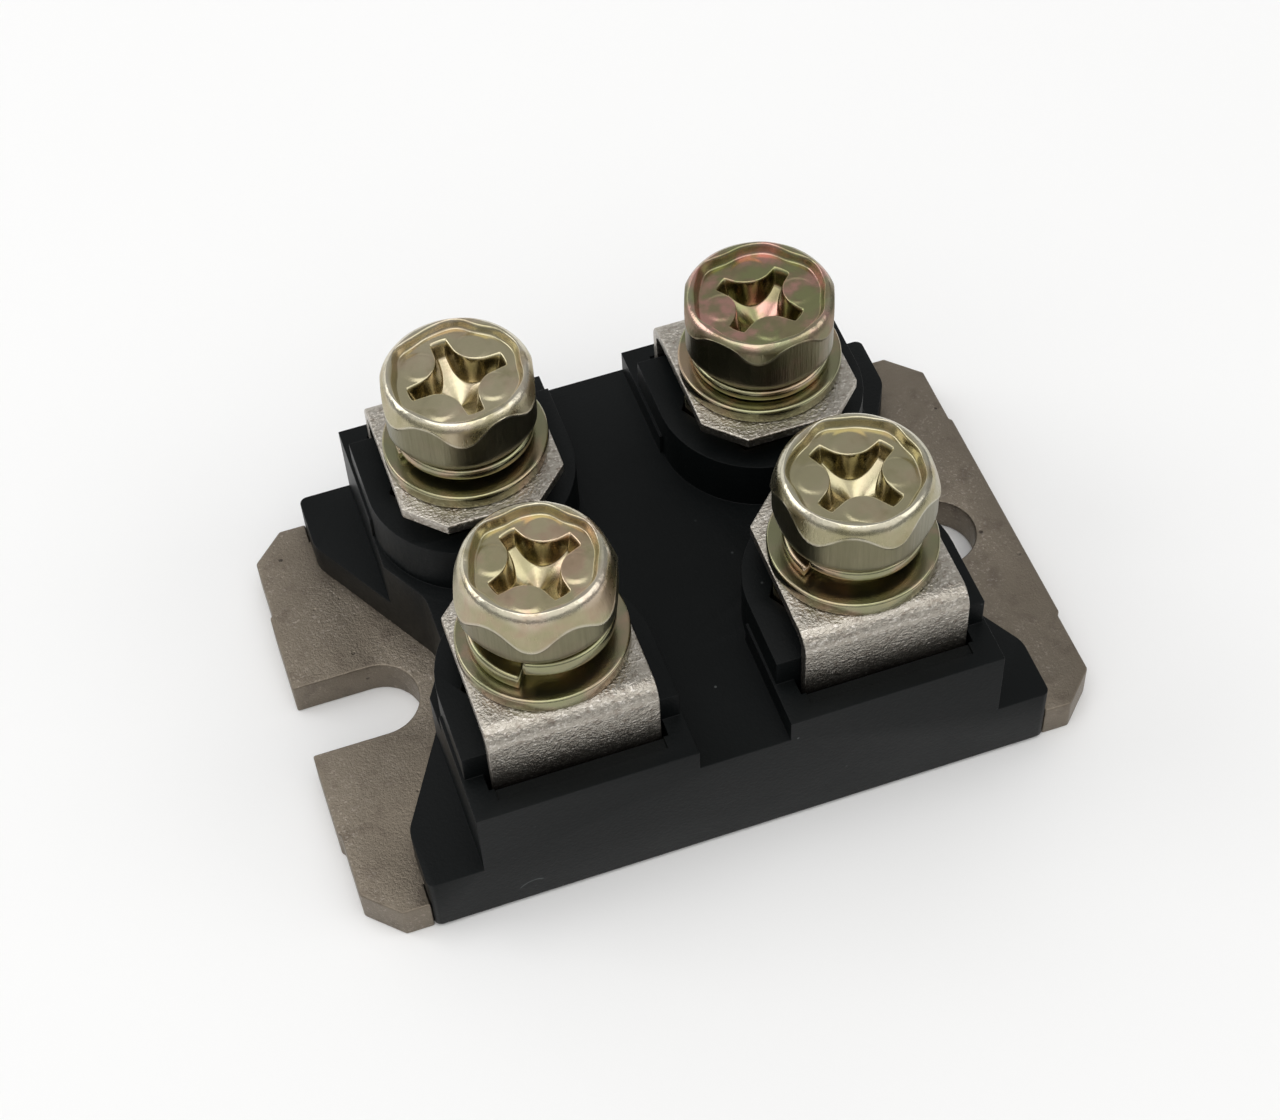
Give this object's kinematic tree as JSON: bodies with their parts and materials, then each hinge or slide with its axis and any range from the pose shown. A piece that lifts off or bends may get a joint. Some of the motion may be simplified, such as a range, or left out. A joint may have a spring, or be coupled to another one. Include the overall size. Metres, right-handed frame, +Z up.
{
  "type": "diode module",
  "caption": "Flat power diode module: black moulded body on a slotted metal base plate, with bent screw terminals under hexagon-head screws and washers.",
  "frame": {"origin": "centre of the base plate's underside", "axes": "+X along the module towards the round mounting hole, the open slot at -X, +Z up out of the terminals"},
  "size_m": [0.038, 0.0248, 0.0182],
  "materials": {
    "nickel_plate": "dull nickel plating with small dings",
    "moulding": "satin black moulded plastic",
    "tinned_terminal": "grainy tinned sheet",
    "yellow_zinc": "yellow passivated zinc",
    "ceramic": "fine white ceramic",
    "copper": "bare copper",
    "silicon": "grey metallised silicon"
  },
  "bodies": {
    "root": {"base_plate": "nickel_plate", "housing": "moulding", "ceramic_substrate": "ceramic", "cathode_pad_left": "copper", "cathode_pad_right": "copper", "anode_pad_left": "copper", "anode_pad_right": "copper", "diode_die_left": "silicon", "diode_die_right": "silicon", "top_clip_left": "copper", "top_clip_right": "copper", "terminal_front_left": "tinned_terminal", "terminal_front_right": "tinned_terminal", "terminal_back_left": "tinned_terminal", "terminal_back_right": "tinned_terminal", "nut_front_left": "yellow_zinc", "nut_front_right": "yellow_zinc", "nut_back_left": "yellow_zinc", "nut_back_right": "yellow_zinc", "flat_washer_front_left": "yellow_zinc", "flat_washer_front_right": "yellow_zinc", "flat_washer_back_left": "yellow_zinc", "flat_washer_back_right": "yellow_zinc", "spring_washer_front_left": "yellow_zinc", "spring_washer_front_right": "yellow_zinc", "spring_washer_back_left": "yellow_zinc", "spring_washer_back_right": "yellow_zinc", "screw_front_left": "yellow_zinc", "screw_front_right": "yellow_zinc", "screw_back_left": "yellow_zinc", "screw_back_right": "yellow_zinc"}
  },
  "joints": []
}
